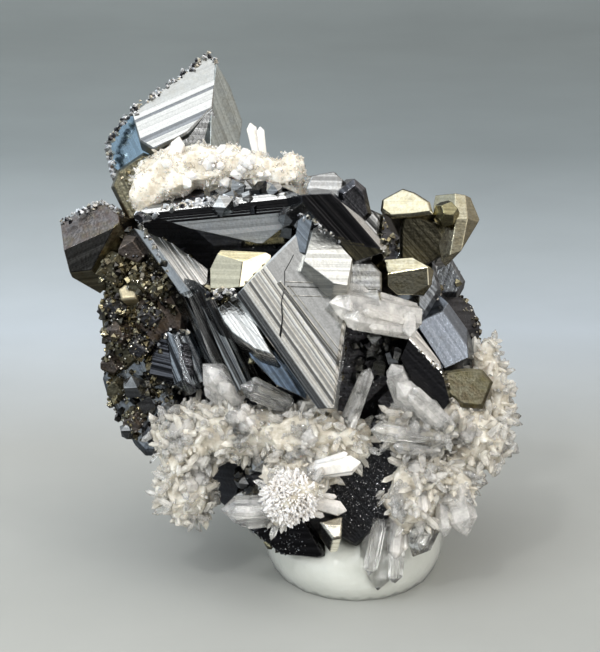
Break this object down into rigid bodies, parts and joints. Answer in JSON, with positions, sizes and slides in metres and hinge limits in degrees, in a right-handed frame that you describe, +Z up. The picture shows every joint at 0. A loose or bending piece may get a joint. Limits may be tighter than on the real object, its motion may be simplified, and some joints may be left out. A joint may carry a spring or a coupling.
{
  "type": "tetrahedrite specimen with pyrite and quartz",
  "caption": "Upright mineral specimen: dark metallic tetrahedrite crystals with pale brass pyrite and crusts of clear and milky quartz points, standing on a pad of white mounting putty.",
  "frame": {"origin": "bottom centre of the bounding box, on the surface that the putty rests on", "axes": "+Z up, -Y towards the viewer of the display side, +X to that viewer's right"},
  "size_m": [0.0364, 0.0281, 0.04],
  "materials": {
    "tetrahedrite": "steel-grey metallic lustre, with striated faces, blue-black and olive tarnish and rough dark patches",
    "pyrite": "pale brass-yellow metallic lustre",
    "tarnished_pyrite": "metallic lustre under brown and olive tarnish",
    "milky_quartz": "glassy and translucent, milky cream",
    "clear_quartz": "glassy, clear to cloudy",
    "mounting_putty": "white, slightly translucent, with a soft gloss"
  },
  "bodies": {
    "root": {"tetrahedrite_group": "tetrahedrite", "pyrite_left": "tarnished_pyrite", "pyrite_middle": "pyrite", "pyrite_cluster": "pyrite", "pyrite_speck": "pyrite", "pyrite_inner": "pyrite", "pyrite_right": "tarnished_pyrite", "pyrite_low": "pyrite", "pyrite_back": "pyrite", "quartz_crest": "milky_quartz", "quartz_middle": "clear_quartz", "quartz_left": "milky_quartz", "quartz_right": "milky_quartz", "quartz_back": "milky_quartz", "mounting_putty": "mounting_putty"}
  },
  "joints": []
}
